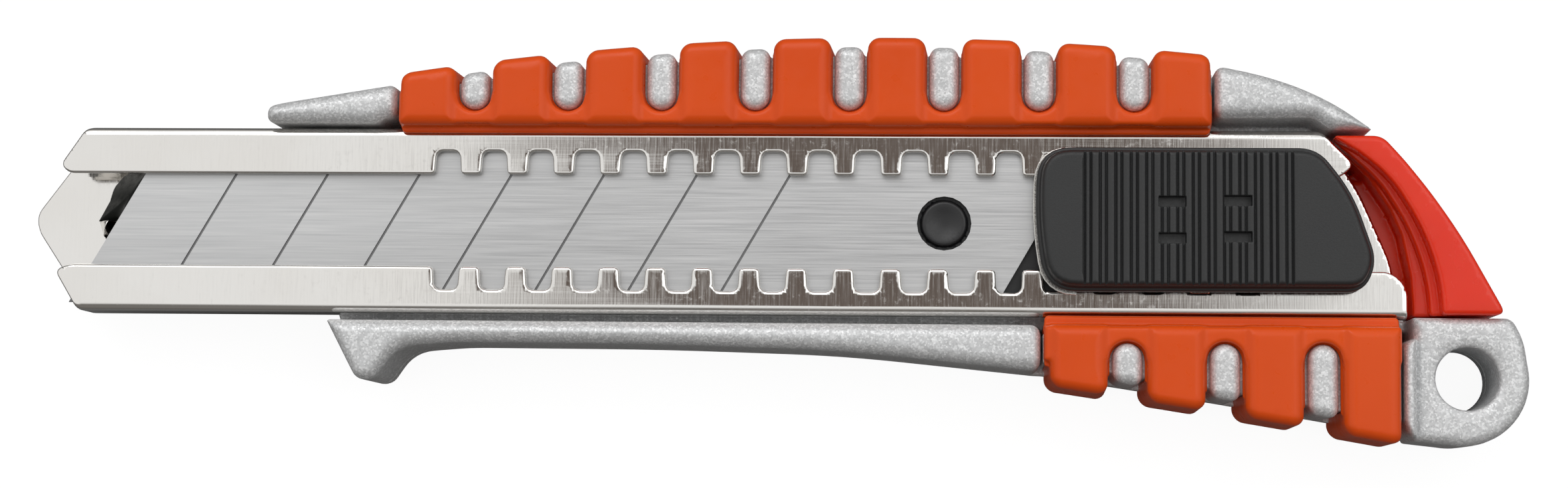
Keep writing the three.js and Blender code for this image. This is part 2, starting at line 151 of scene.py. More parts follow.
def upper_flange():
    return outline([
        (-55.9, 10.35, 0.9), (-55.9, 12.15, 1), (-54.2, 12.55, 1.5), (-43.2, 14.35, 0.4),
        *along(lambda x: crest(x) - CREST_RECESS, -41, 44, 24),
        (46.4, 16.6, 0.8), (50, 15.85, 2), (53.9, 14.65, 3), (58, 12.75, 3), (62, 9.95, 0.3),
        (57.6, 9.95, 0.6), (55.8, 11.2, 0.6), (46, 11.1), (-43, 10.9, 0.5), (-44, 10.3, 0.5),
    ])


def lower_flange():
    return outline([
        (-48.95, -10.8, 0.3), (-45.55, -17.2, 2.4), (-43.6, -17.25, 1.4), (-41.2, -13.7, 2.4),
        (-35, -13.15, 2), (-14, -13.2, 6), (6, -13.75, 6), (26.5, -15.75),
        *along(lambda x: keel(x) + KEEL_RECESS, 27.5, 64.8, 12),
        (66.3, -22.6, 0.5), (66.3, -12.1), (64.6, -12.1), (64.6, -10.9),
    ])


def lug():
    top = outline([(66.2, -9.75), (76.4, -9.75, 0.8), (77.6, -12, 2.6), (78, -14.8)])
    swing = arc(LUG, LUG_RADIUS, 11.5, -100)
    return np.array([*top[:-1], *swing, (66.2, -22.7)])


def body():
    return outline([
        (-55.3, 10.5, 0.5), (-48.7, -11, 0.5), (64.5, -11.2), (66.3, -10.9),
        (66.3, -9.8, 0.3), (64.2, -9.8, 0.3), (57.8, 9.95, 0.3), (57.8, 11.3),
    ])


def magazine():
    lean = SLANT * MAGAZINE_HALF
    return outline([
        (MAGAZINE_FRONT_X + lean, -MAGAZINE_HALF), (90, -MAGAZINE_HALF),
        (90, MAGAZINE_HALF), (MAGAZINE_FRONT_X - lean, MAGAZINE_HALF),
    ])


# ---- Distance fields ----

class Grid:
    """A block of space, mm, on which distance fields are worked out."""

    def __init__(self, low, high, voxel):
        self.voxel = voxel * FINE
        self.low = np.array(low, np.float32) - 3 * self.voxel
        span = np.array(high, np.float32) + 3 * self.voxel - self.low
        self.count = np.ceil(span / self.voxel).astype(int) + 1
        axes = [self.low[i] + self.voxel * np.arange(self.count[i], dtype=np.float32) for i in range(3)]
        self.x = axes[0][:, None, None]
        self.y = axes[1][None, :, None]
        self.z = axes[2][None, None, :]

    def flat(self, points):
        """Distance to an upright wall that follows a closed outline; less than 0 inside it."""
        x, y = self.x[:, :, 0], self.y[:, :, 0]
        nearest = np.full((self.count[0], self.count[1]), 1e9, np.float32)
        inside = np.zeros(nearest.shape, bool)
        points = np.asarray(points, np.float32)
        for (ax, ay), (bx, by) in zip(points, np.roll(points, -1, 0)):
            ex, ey = bx - ax, by - ay
            length = ex * ex + ey * ey
            if length < 1e-10:
                continue
            t = np.clip(((x - ax) * ex + (y - ay) * ey) / length, 0, 1)
            nearest = np.minimum(nearest, (x - ax - ex * t) ** 2 + (y - ay - ey * t) ** 2)
            if ay != by:
                inside ^= ((ay > y) != (by > y)) & (x < ex * (y - ay) / ey + ax)
        distance = np.sqrt(nearest)
        return np.where(inside, -distance, distance)[:, :, None]

    def disc(self, centre, radius):
        distance = np.hypot(self.x[:, :, 0] - centre[0], self.y[:, :, 0] - centre[1]) - radius
        return distance[:, :, None].astype(np.float32)

    def plate(self, flat, low, high, rim=0.3, back_rim=None):
        """A plate between two heights, its front and back rims rounded."""
        back_rim = rim if back_rim is None else back_rim
        front = rounded_max(flat, self.z - high, rim)
        back = rounded_max(flat, low - self.z, back_rim)
        return np.maximum(front, back)


def rounded_max(a, b, radius):
    """What two surfaces keep in common, with a rounded edge."""
    if radius <= 0:
        return np.maximum(a, b)
    a, b = a + radius, b + radius
    return np.minimum(np.maximum(a, b), 0) + np.hypot(np.maximum(a, 0), np.maximum(b, 0)) - radius


def join(a, b, fillet=0.0):
    """Both bodies, with a fillet where they meet."""
    if fillet <= 0:
        return np.minimum(a, b)
    blend = np.maximum(fillet - np.abs(a - b), 0) / fillet
    return np.minimum(a, b) - blend * blend * fillet / 4


def cut(a, tool, rim=0.0):
    """a with tool taken out, the new edge rounded."""
    return rounded_max(a, -tool, rim)


def sample(values, places):
    """The field's value at fractional grid places."""
    limit = np.array(values.shape) - 1.001
    places = np.clip(places, 0, limit)
    base = places.astype(int)
    part = places - base
    total = np.zeros(len(places))
    for corner in range(8):
        step = np.array([(corner >> k) & 1 for k in range(3)])
        weight = np.prod(np.where(step, part, 1 - part), axis=1)
        at = base + step
        total += weight * values[at[:, 0], at[:, 1], at[:, 2]]
    return total


def slope(values, places, reach=0.7):
    normal = np.stack([
        sample(values, places + reach * unit) - sample(values, places - reach * unit)
        for unit in np.eye(3)
    ], axis=1)
    return normal / np.maximum(np.linalg.norm(normal, axis=1, keepdims=True), 1e-9)


def field_mesh(name, grid, values, detail=0.02):
    """Turns a distance field into a mesh with exact normals."""
    values = np.ascontiguousarray(values, dtype=np.float32)
    band = 3 * grid.voxel
    volume = openvdb.FloatGrid(band)
    volume.copyFromArray(np.clip(values, -band, band))
    places, triangles, quads = volume.convertToPolygons(0.0, detail)
    places = np.asarray(places, float)
    for _ in range(2):
        step = sample(values, places) / grid.voxel
        places -= np.clip(step, -0.5, 0.5)[:, None] * slope(values, places)
    normals = slope(values, places)
    points = (grid.low + places * grid.voxel) * MM + SPREAD
    faces = [tuple(f) for f in np.asarray(quads)] + [tuple(f) for f in np.asarray(triangles)]
    first = points[list(faces[0])]
    turn = np.cross(first[1] - first[0], first[2] - first[0])
    if np.dot(turn, normals[faces[0][0]]) < 0:
        faces = [f[::-1] for f in faces]
    mesh = bpy.data.meshes.new(name)
    mesh.from_pydata(points.tolist(), [], faces)
    mesh.update()
    mesh.shade_smooth()
    mesh.normals_split_custom_set_from_vertices(normals.tolist())
    return mesh


def add_piece(name, mesh, material, body, slot, *nodes):
    piece = bpy.data.objects.new(name, mesh)
    bpy.context.scene.collection.objects.link(piece)
    mesh.materials.append(material)
    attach(piece, body)
    if nodes:
        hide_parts(*nodes)


# ---- Materials ----

class Tree:
    """Shorthand for building node trees."""

    def __init__(self, tree):
        self.tree = tree

    def node(self, kind, inputs=None, **settings):
        node = self.tree.nodes.new(kind)
        for name, value in settings.items():
            setattr(node, name, value)
        for name, value in (inputs or {}).items():
            socket = node.inputs[name]
            if isinstance(value, bpy.types.NodeSocket):
                self.tree.links.new(value, socket)
            else:
                socket.default_value = value
        return node

    def places(self, scale):
        """Places on the piece, in units of 1 / scale metres; scale is one number or three."""
        coords = self.node("ShaderNodeTexCoord").outputs["Object"]
        scale = (scale,) * 3 if isinstance(scale, (int, float)) else scale
        mapping = self.node("ShaderNodeMapping", {"Vector": coords, "Scale": scale})
        return mapping.outputs["Vector"]

    def noise(self, scale, detail=3.0, roughness=0.5):
        return self.node("ShaderNodeTexNoise", {
            "Vector": self.places(scale), "Scale": 1.0, "Detail": detail, "Roughness": roughness,
        }).outputs["Fac"]

    def flakes(self, scale):
        cells = self.node("ShaderNodeTexVoronoi", {"Vector": self.places(scale), "Scale": 1.0})
        return cells.outputs["Color"]

    def remap(self, value, low, high, to_low, to_high):
        return self.node("ShaderNodeMapRange", {
            "Value": value, "From Min": low, "From Max": high, "To Min": to_low, "To Max": to_high,
        }).outputs["Result"]

    def math(self, operation, a, b):
        return self.node("ShaderNodeMath", {0: a, 1: b}, operation=operation).outputs[0]

    def dot(self, a, b):
        node = self.node("ShaderNodeVectorMath", {0: a, 1: b}, operation="DOT_PRODUCT")
        return node.outputs["Value"]

    def ramp(self, value, stops):
        node = self.node("ShaderNodeValToRGB", {"Fac": value})
        elements = node.color_ramp.elements
        while len(elements) < len(stops):
            elements.new(0.5)
        for element, (place, color) in zip(elements, stops):
            element.position = place
            element.color = (*color, 1)
        return node.outputs["Color"]

    def mix(self, factor, a, b):
        node = self.node("ShaderNodeMix", data_type="RGBA")
        for name, value in ((0, factor), (6, a), (7, b)):
            if isinstance(value, bpy.types.NodeSocket):
                self.tree.links.new(value, node.inputs[name])
            else:
                node.inputs[name].default_value = value if name == 0 else (*value, 1)
        return node.outputs[2]


class Paint(Tree):
    """A Principled material under construction."""

    def __init__(self, name, **settings):
        self.material = bpy.data.materials.new(name)
        self.material.use_nodes = True
        super().__init__(self.material.node_tree)
        self.shader = self.tree.nodes["Principled BSDF"]
        for socket, value in settings.items():
            self.shader.inputs[socket.replace("_", " ")].default_value = value

    def edges(self, radius):
        """1 on rims, 0 on flat places: how far a small bevel turns the surface."""
        bevel = self.node("ShaderNodeBevel", {"Radius": radius}, samples=4).outputs["Normal"]
        normal = self.node("ShaderNodeNewGeometry").outputs["Normal"]
        turned = self.math("SUBTRACT", 1.0, self.dot(bevel, normal))
        return self.remap(turned, 0.0, 0.25, 0.0, 1.0)

    def bump(self, height, strength, distance, normal=None):
        inputs = {"Height": height, "Strength": strength, "Distance": distance}
        if normal is not None:
            inputs["Normal"] = normal
        return self.node("ShaderNodeBump", inputs).outputs["Normal"]

    def wire(self, **sockets):
        for name, value in sockets.items():
            self.tree.links.new(value, self.shader.inputs[name.replace("_", " ")])
        return self.material


def silver_paint():
    """Coarse metallic paint over a casting: flakes that sparkle, a soft orange-peel surface."""
    p = Paint("silver_paint", Metallic=0.3, IOR=1.5, Coat_Weight=0.15, Coat_Roughness=0.35)
    glint = p.node("ShaderNodeSeparateColor", {"Color": p.flakes(5200)}).outputs
    tones = [(0.0, (0.50, 0.505, 0.51)), (0.6, (0.62, 0.625, 0.63)), (1.0, (0.82, 0.825, 0.83))]
    color = p.ramp(glint["Red"], tones)
    rough = p.remap(glint["Green"], 0, 1, 0.32, 0.62)
    peel = p.bump(p.noise(900, 4.0), 0.25, 0.0002)
    normal = p.bump(glint["Blue"], 0.22, 0.00008, peel)
    return p.wire(Base_Color=color, Roughness=rough, Normal=normal)


def grip_rubber(name, color, deep):
    """Glossy smooth elastomer, a little translucent, with faint moulding swirls."""
    p = Paint(name, IOR=1.42, Coat_Weight=0.04, Coat_Roughness=0.15, Subsurface_Weight=0.08,
              Subsurface_Radius=(0.0012, 0.0004, 0.0002), Subsurface_Scale=1.0, Specular_IOR_Level=0.28)
    swirl = p.remap(p.noise(60, 3.0), 0.35, 0.65, 0.0, 0.35)
    tone = p.mix(swirl, color, deep)
    rough = p.remap(p.noise(700, 4.0), 0.3, 0.7, 0.26, 0.4)
    normal = p.bump(p.noise(2600, 2.0), 0.08, 0.00005)
    return p.wire(Base_Color=tone, Roughness=rough, Normal=normal)


def cap_plastic():
    """Clear red plastic with a polished face."""
    p = Paint("cap_plastic", IOR=1.45, Coat_Weight=0.12, Coat_Roughness=0.1, Subsurface_Weight=0.5,
              Subsurface_Radius=(0.005, 0.0006, 0.0003), Subsurface_Scale=1.0, Specular_IOR_Level=0.4)
    swirl = p.remap(p.noise(90, 3.0), 0.35, 0.65, 0.0, 0.5)
    tone = p.mix(swirl, (0.82, 0.032, 0.005), (0.74, 0.022, 0.003))
    rough = p.remap(p.noise(500, 4.0), 0.3, 0.7, 0.16, 0.3)
    normal = p.bump(p.noise(1800, 2.0), 0.05, 0.00005)
    return p.wire(Base_Color=tone, Roughness=rough, Normal=normal)


def channel_steel():
    """Bright plated sheet: drawing lines along it, fine rubbing marks across, dull specks."""
    p = Paint("channel_steel", Metallic=1.0, IOR=2.5)
    drawn = p.noise((40, 2600, 2600), 3.0)
    rub_marks_and_sheen = p.noise((5200, 300, 300), 2.0)
    specks = p.remap(p.noise(1500, 5.0, 0.65), 0.56, 0.72, 0.0, 1.0)
    stain = p.remap(p.noise(70, 3.0), 0.4, 0.7, 0.0, 0.35)
    color = p.mix(stain, (0.80, 0.785, 0.76), (0.70, 0.665, 0.62))
    rough = p.math("ADD", p.remap(rub_marks_and_sheen, 0.35, 0.75, 0.05, 0.18), p.math("MULTIPLY", specks, 0.12))
    waves = p.bump(p.noise((45, 190, 190), 1.0), 0.25, 0.0004)
    lines = p.bump(drawn, 0.10, 0.00006, waves)
    normal = p.bump(rub_marks_and_sheen, 0.06, 0.00004, lines)
    return p.wire(Base_Color=color, Roughness=rough, Normal=normal)


def painted_shade_steel():
    """Steel painted near black as shade and dark reflection on the ramp wall, matt, with lighter specks near
    the top as a painted reflection.
    """
    p = Paint("painted_shade_steel", Metallic=1.0, IOR=2.5)
    specks = p.noise((1400, 1400, 1400), 4.0, 0.7)
    height = p.node("ShaderNodeSeparateXYZ", {"Vector": p.places(1.0)}).outputs["Y"]
    # painted shade and reflection: a near-black wall, with lighter specks in a band near the top standing in
    # for a reflection
    rub_marks_and_sheen = p.remap(height, 0.0048, 0.0072, 0.0, 0.5)
    bright = p.math("MULTIPLY", rub_marks_and_sheen, p.remap(specks, 0.4, 0.6, 0.2, 1.0))
    tone = p.mix(bright, (0.028, 0.030, 0.028), (0.5, 0.5, 0.48))
    rough = p.remap(specks, 0.3, 0.7, 0.35, 0.6)
    return p.wire(Base_Color=tone, Roughness=rough, Normal=p.bump(specks, 0.3, 0.00005))


PAINTED_SHADE_BELOW_Z = 9.42                     # mm; the score lines of the working blade lie lower, and blade steel below this height is painted dark as shade


def blade_steel():
    """Satin ground steel: fine grain along the blade, a few darker wipes, and painted shade in the score
    lines.
    """
    p = Paint("blade_steel", Metallic=1.0, IOR=2.5, Anisotropic=0.4)
    grain = p.noise((90, 5200, 5200), 4.0, 0.6)
    wipes = p.noise((30, 500, 500), 3.0)
    tone = p.mix(p.remap(grain, 0.3, 0.7, 0.0, 1.0), (0.50, 0.505, 0.51), (0.60, 0.60, 0.60))
    tone = p.mix(p.remap(wipes, 0.45, 0.75, 0.0, 0.3), tone, (0.46, 0.46, 0.465))
    height = p.node("ShaderNodeSeparateXYZ", {"Vector": p.places(1000.0)}).outputs["Z"]
    # painted shade: steel lower than the score lines' rim is darkened, as shade in the grooves
    groove_shade = p.remap(height, PAINTED_SHADE_BELOW_Z, PAINTED_SHADE_BELOW_Z - 0.02, 0.0, 0.72)
    tone = p.mix(groove_shade, tone, (0.05, 0.05, 0.05))
    rough = p.remap(grain, 0.3, 0.7, 0.30, 0.42)
    normal = p.bump(grain, 0.10, 0.00003)
    return p.wire(Base_Color=tone, Roughness=rough, Normal=normal)


def plain_metal(name, color, rough):
    """Zinc-plated or rolled small parts: fine grain and dull patches."""
    p = Paint(name, Metallic=1.0, IOR=2.5)
    grain = p.noise(4200, 4.0)
    patches = p.remap(p.noise(350, 3.0), 0.4, 0.7, 0.0, 0.5)
    tone = p.mix(patches, color, tuple(c * 0.7 for c in color))
    return p.wire(
        Base_Color=tone,
        Roughness=p.remap(grain, 0.3, 0.7, rough - 0.08, rough + 0.1),
        Normal=p.bump(grain, 0.12, 0.00004),
    )


def black_plastic(name, tone, rough, grain_depth):
    """Moulded black plastic: fine spark-eroded grain, polished a little on its rims."""
    p = Paint(name, IOR=1.48)
    grain = p.noise(5200, 3.0)
    wear = p.edges(0.0004)
    color = p.mix(wear, tone, tuple(c * 1.6 for c in tone))
    mottle = p.remap(p.noise(260, 3.0), 0.35, 0.7, 0.0, 0.25)
    color = p.mix(mottle, color, tuple(c * 0.8 for c in tone))
    return p.wire(
        Base_Color=color,
        Roughness=p.remap(grain, 0.3, 0.7, rough - 0.07, rough + 0.07),
        Normal=p.bump(grain, grain_depth, 0.00005),
    )


SILVER = silver_paint()
ORANGE = grip_rubber("grip_orange", (0.73, 0.080, 0.006), (0.63, 0.060, 0.004))
RED = cap_plastic()
CHANNEL_STEEL = channel_steel()
# near-black steel for the ramp wall: painted shade and reflection
PAINTED_SHADE_STEEL = painted_shade_steel()
BLADE_STEEL = blade_steel()
SCREW_STEEL = plain_metal("screw_steel", (0.52, 0.52, 0.53), 0.3)
SPRING_STEEL = plain_metal("spring_steel", (0.66, 0.65, 0.62), 0.25)
PAD_BLACK = black_plastic("pad_black", (0.017, 0.0175, 0.018), 0.50, 0.25)
CARRIER_BLACK = black_plastic("carrier_black", (0.012, 0.012, 0.013), 0.38, 0.12)


# ---- Combs of the grips ----

class Comb:
    """Where a grip's fingers, and the metal bars that stand between them, lie."""

    def __init__(self, first, pitch, count, width, side, edge, bar_foot, ends):
        self.first, self.pitch, self.count, self.width = first, pitch, count, width
        self.side, self.edge, self.bar_foot, self.ends = side, edge, bar_foot, ends

    def from_nearest(self, x, start, count):
        index = np.clip(np.round((x - start) / self.pitch), 0, count - 1)
        return x - (start + index * self.pitch)

    def finger(self, grid):
        """Distance to the sides of the nearest finger."""
        middle = self.first + self.width / 2
        return np.abs(self.from_nearest(grid.x, middle, self.count)) - self.width / 2

    def bar(self, grid, half):
        """Distance to the nearest bar: round at its foot, open towards the edge of the handle."""
        return self.pocket(grid, self.bar_foot, half)

    def pocket(self, grid, foot, half):
        """Distance to the nearest U-shaped pocket between two fingers."""
        middle = self.first + (self.width + self.pitch) / 2
        across = self.from_nearest(grid.x, middle, self.count - 1)
        below = np.minimum(self.side * grid.y - foot - half, 0)
        return np.hypot(across, below) - half

    def beyond(self, grid):
        """Distance past the grip's edge, crest or keel."""
        return self.side * (grid.y - self.edge(grid.x))


UPPER = Comb(-41.3, 10.03, 9, 6.1, 1, crest, 11.75, (-41.3, 45.04))
LOWER = Comb(28.2, 10.15, 4, 5.95, -1, keel, 12.75, (27.6, 64.6))
CORE_Z = 11.3                            # top of the casting under the rubber
CORE_INSET = 1.2
BAR_Z = 12.95
BAR_HALF = 1.55                          # half the width of a metal bar


# ---- Castings ----

def flange_field(grid, points, comb, recess):
    """A flange, sunk where the rubber lies on it, with the bars that stand up between the fingers."""
    flat = grid.flat(points)
    full = grid.plate(flat, SEAM_Z + 0.06, FLANGE_Z, 1.5, 0.2)
    start, end = comb.ends
    zone = np.maximum(start - 0.15 - grid.x, grid.x - end - 0.15)
    core = np.maximum(flat + CORE_INSET - 0.3, grid.z - CORE_Z)
    sunk = np.maximum(full, np.maximum(core, zone))
    outside = cut(full, np.maximum(start - 0.4 - grid.x, grid.x - end - 0.4), 1.1)
    bars = rounded_max(comb.bar(grid, BAR_HALF), comb.beyond(grid) + recess, 1.1)
    bars = rounded_max(bars, grid.z - BAR_Z, 1.2)
    bars = np.maximum(np.maximum(bars, SEAM_Z + 0.06 - grid.z), zone)
    return join(join(sunk, outside), bars, 0.25)


def lanyard_tool(grid, face_z, up):
    """The lanyard hole, flared where it comes out of the face."""
    flare = 0.75
    depth = np.clip(up * (grid.z - face_z) + flare, 0, flare)
    return grid.disc(LUG_HOLE, LUG_BORE) - (flare - np.sqrt(flare ** 2 - depth ** 2))


def handle_frame():
    grid = Grid((-56.4, -23.8, SEAM_Z), (79.3, 19.2, BAR_Z), 0.2)
    low = SEAM_Z + 0.06
    upper = flange_field(grid, upper_flange(), UPPER, CREST_RECESS)
    lower = flange_field(grid, lower_flange(), LOWER, KEEL_RECESS)
    lug_plate = grid.plate(grid.flat(lug()), low, LUG_Z, 1.2, 0.2)
    web = grid.plate(grid.flat(body()), low, WEB_Z[1], 0.3)
    solid = join(join(join(upper, lower), lug_plate, 0.2), web, 0.4)
    solid = cut(solid, grid.plate(grid.flat(magazine()), -9, WEB_Z[0], 0.2), 0.1)
    solid = cut(solid, lanyard_tool(grid, LUG_Z, 1), 0.1)
    add_piece("handle_casting", field_mesh("handle_casting", grid, solid), SILVER,
              "root", "cast_silver", "handle_frame")


def back_cover():
    grid = Grid((-56.4, -23.8, 0), (79.3, 19.2, SEAM_Z), 0.2)
    high = SEAM_Z - 0.06
    parts = [upper_flange(), lower_flange(), lug(), body()]
    flat = np.minimum.reduce([grid.flat(points) for points in parts])
    solid = grid.plate(flat, 0.0, high, 0.2, 0.9)
    for comb, spine in ((UPPER, 11.5), (LOWER, 12.6)):
        start, end = comb.ends
        zone = np.maximum(start - 0.12 - grid.x, grid.x - end - 0.12)
        fingers = np.maximum(comb.finger(grid) - 0.12, spine - 0.5 - comb.side * grid.y)
        strip = np.abs(comb.side * grid.y - spine + 1) - 1.1
        room = np.maximum(np.maximum(np.minimum(fingers, strip), zone), grid.z - 1.15)
        solid = cut(solid, room, 0.15)
    solid = cut(solid, grid.plate(grid.flat(magazine()), MAGAZINE_Z[0], 9, 0.2), 0.1)
    solid = cut(solid, lanyard_tool(grid, 0, -1), 0.1)
    for place in SCREWS:
        head = np.maximum(grid.disc(place, 1.52), grid.z - 1.37)
        solid = cut(solid, np.minimum(head, grid.disc(place, 0.92)), 0.1)
    add_piece("back_casting", field_mesh("back_casting", grid, solid), SILVER,
              "root", "cast_silver", "back_cover")


# ---- Grips ----

def grip_field(grid, comb, flange, recess, spine, lip):
    """Spine, raised fingers and lip of a grip, hollow where the flange fills it."""
    side_y = comb.side * grid.y
    start, end = comb.ends
    half_gap = (comb.pitch - comb.width) / 2
    draft = 0.06 * np.maximum(GRIP_Z - grid.z, 0)
    beyond = comb.beyond(grid)
    ends = np.maximum(start - grid.x, grid.x - end)
    fingers = rounded_max(comb.finger(grid) - draft * 0.5, beyond, 1.3)
    fingers = rounded_max(fingers, ends, 0.4)
    fingers = rounded_max(fingers, spine[0] - side_y, 0.5)
    fingers = rounded_max(fingers, grid.z - GRIP_Z, 1.15)
    fingers = rounded_max(fingers, -grid.z, 0.8)
    strip = np.maximum(spine[0] + 0.1 - side_y, side_y - spine[1] - half_gap)
    strip = rounded_max(rounded_max(strip, ends, 0.3), grid.z - (GRIP_Z - 0.5), 0.5)
    strip = rounded_max(strip, -grid.z, 0.4)
    strip = cut(strip, comb.pocket(grid, spine[1], half_gap - 0.05), 0.5)
    ledge = rounded_max(np.maximum(lip[0] - side_y, side_y - spine[1]), ends, 0.5)
    ledge = rounded_max(ledge, grid.z - lip[1], 0.3)
    ledge = np.maximum(ledge, CHANNEL_Z[1] + 0.1 - grid.z)
    skin = np.maximum(beyond + recess + 0.6, grid.z - (CORE_Z + 0.5))
    skin = np.maximum(np.maximum(skin, ends), spine[0] - side_y)
    skin = np.maximum(skin, 0.35 - grid.z)
    skin = cut(skin, comb.bar(grid, BAR_HALF + 0.3), 0.1)
    solid = join(join(fingers, strip, 0.45), ledge, 0.3)
    solid = join(solid, skin, 0.3)
    flat = grid.flat(flange)
    core = np.maximum(flat + CORE_INSET - 0.4, grid.z - CORE_Z - 0.06)
    core = np.maximum(core, 1.1 - grid.z)
    web = np.maximum(np.maximum(grid.flat(body()) - 0.12, 1.1 - grid.z), grid.z - WEB_Z[1] - 0.12)
    bars = rounded_max(comb.bar(grid, BAR_HALF + 0.05), beyond + recess - 0.05, 1.1)
    bars = np.maximum(rounded_max(bars, grid.z - BAR_Z - 0.06, 1.2), 1.1 - grid.z)
    channel = np.maximum(side_y - (CHANNEL_HALF + 0.25), grid.z - CHANNEL_Z[1] - 0.1)
    for tool in (core, web, bars, channel):
        solid = np.maximum(solid, -tool)
    return solid


def upper_grip():
    grid = Grid((-41.5, 9.2, 0), (45.2, 19.8, GRIP_Z), 0.16)
    solid = grip_field(grid, UPPER, upper_flange(), CREST_RECESS, (10.1, 11.5), (9.35, 11.2))
    add_piece("upper_grip_rubber", field_mesh("upper_grip_rubber", grid, solid), ORANGE,
              "root", "grip_orange", "upper_grip")


def lower_grip():
    grid = Grid((27.4, -23.3, 0), (64.8, -9.7, GRIP_Z), 0.16)
    solid = grip_field(grid, LOWER, lower_flange(), KEEL_RECESS, (10.95, 12.6), (9.85, 11.2))
    add_piece("lower_grip_rubber", field_mesh("lower_grip_rubber", grid, solid), ORANGE,
              "root", "grip_orange", "lower_grip")


# ---- Blade channel ----

PLATE_NOSE = [
    (-75.9, CHANNEL_HALF, 0.8), (-82.7, 0.9, 2.2), (-82.5, -0.9, 2.2), (-76.3, -CHANNEL_HALF, 0.8),
    (64.9, -CHANNEL_HALF), (64.9, -4.2, 2), (61.2, 4.4, 2), (57.4, CHANNEL_HALF),
]
UPPER_LIP = [
    (-75.9, CHANNEL_HALF, 0.8), (-78.7, 5.9, 1.8), (-77.8, LIP_HALF, 1.4),
    (58.6, LIP_HALF, 0.5), (60.3, 6.3, 1.2), (56.6, CHANNEL_HALF, 0.6),
]
LOWER_LIP = [
    (-76.3, -CHANNEL_HALF, 0.8), (-79, -5.6, 1.8), (-77.4, -LIP_HALF, 1.6),
    (64, -LIP_HALF, 2.2), (65.6, -6.6, 2.2), (65.6, -CHANNEL_HALF),
]
RAMP_TOP = 8.6
RAMP_FOOT = [
    (-75.8, 0.12), (-74.6, 2.4), (-74.2, 3.9, 0.6), (-73.2, 5.1), (-71.5, 6.2), (-64, 6.2), (-66, 0.12),
]
RAMP_HEAD = [(-72.75, 0.12), (-69.3, 6.2), (-64, 6.2), (-66, 0.12)]
BEND_RADIUS = 0.95


def notches(grid):
    """The openings between the teeth, alike on both lips."""
    start = TEETH_FIRST_X - TEETH_PITCH / 2
    index = np.clip(np.round((grid.x - start) / TEETH_PITCH), 0, TEETH_COUNT - 1)
    across = np.abs(grid.x - start - index * TEETH_PITCH)
    side = np.abs(grid.y)
    lean = 0.06 * (7.45 - side)
    root = np.where(grid.x > 28, 7.25, 7.45)
    opening = rounded_max(across - 1.26 - lean, side - root, 0.7)
    corner = np.clip(side - LIP_HALF, 0, 0.45) - 0.45
    flare = 0.45 - np.sqrt(np.maximum(0.45 ** 2 - corner ** 2, 0))
    return opening - np.where(side < LIP_HALF + 0.45, flare, 0)


def blade_channel():
    grid = Grid((-82.7, -CHANNEL_HALF, CHANNEL_Z[0]), (65.7, CHANNEL_HALF, CHANNEL_Z[1]), 0.16)
    back, front = CHANNEL_Z
    middle = (back + front) / 2
    side = np.abs(grid.y)
    outer = rounded_max(side - CHANNEL_HALF, np.abs(grid.z - middle) - (front - middle), BEND_RADIUS)
    hollow = rounded_max(side - CHANNEL_HALF + SHEET, np.abs(grid.z - middle) - (front - middle - SHEET),
                         BEND_RADIUS - SHEET)
    skin = np.maximum(outer, -hollow)
    plate = rounded_max(skin, grid.flat(outline(PLATE_NOSE)), 0.25)
    plate = np.maximum(plate, grid.z - back - SHEET * 1.5)
    upper_edge = np.maximum(grid.flat(outline(UPPER_LIP)), -grid.y)
    lower_edge = np.maximum(grid.flat(outline(LOWER_LIP)), grid.y)
    lips = np.minimum(upper_edge, lower_edge)
    lips = cut(lips, notches(grid))
    lips = rounded_max(skin, lips, 0.25)
    lips = np.maximum(lips, back + SHEET * 1.4 - grid.z)
    solid = np.minimum(plate, lips)
    for x in RIVETS_X:
        solid = cut(solid, np.maximum(grid.disc((x, 0), 1.32), grid.z - back - 1.2), 0.05)
    add_piece("channel_sheet", field_mesh("channel_sheet", grid, solid), CHANNEL_STEEL,
              "root", "channel_steel", "blade_channel")


def mouth_ramp():
    """Tongue pressed up from the floor under the blade's tip: a dull steep wall painted dark as shade, and a
    torn bright corner.
    """
    grid = Grid((-76, -2.4, CHANNEL_Z[0] + 0.3), (-64, 6.2, RAMP_TOP), 0.1)
    floor_z = CHANNEL_Z[0] + SHEET
    rise = np.clip((grid.z - floor_z) / (RAMP_TOP - floor_z), 0, 1)
    foot, head = grid.flat(outline(RAMP_FOOT)), grid.flat(outline(RAMP_HEAD))
    wall = rounded_max(foot + (head - foot) * rise, grid.z - RAMP_TOP, 0.3)
    wall = np.maximum(wall, floor_z - 0.2 - grid.z)
    # the wall's near-black colour is painted shade and reflection
    add_piece("ramp_wall", field_mesh("ramp_wall", grid, wall), PAINTED_SHADE_STEEL, "root", "channel_steel")
    across = np.abs(grid.x + 74.2 - 0.45 * (grid.y - 0.1)) * 0.8
    fold = 7.4 + 0.55 * grid.y - 1.5 * across + 0.25 * np.sin(3 * grid.x + 2 * grid.y)
    corner = np.maximum((grid.z - fold) * 0.6, grid.y - 0.1)
    corner = np.maximum(corner, floor_z - 0.2 - grid.z)
    corner = np.maximum(corner, -(grid.x + 75.7 - 0.45 * (0.1 - grid.y)))
    corner = np.maximum(corner, grid.x + 66)
    add_piece("ramp_corner", field_mesh("ramp_corner", grid, corner), CHANNEL_STEEL, "root", "channel_steel")


# ---- End cap ----

CAP = [
    (57.9, 9.35, 0.5), (63, 9.35, 1), (65.3, 6.8, 1), (68, 3.4, 3), (71.2, -1.3, 4), (75.7, -9.5, 1.2),
    (66.4, -9.5, 0.2), (66.3, -5.4), (65.4, -0.9), (64.2, 1.9), (62, 5.2),
]
CAP_STAIRS = ((69, 9.5), (68, 8), (66.3, 4.4))
CAP_FOOT = [(67, -9.4), (64.45, -9.4), (59.7, 5.3), (63, 5.3), (67, -3)]


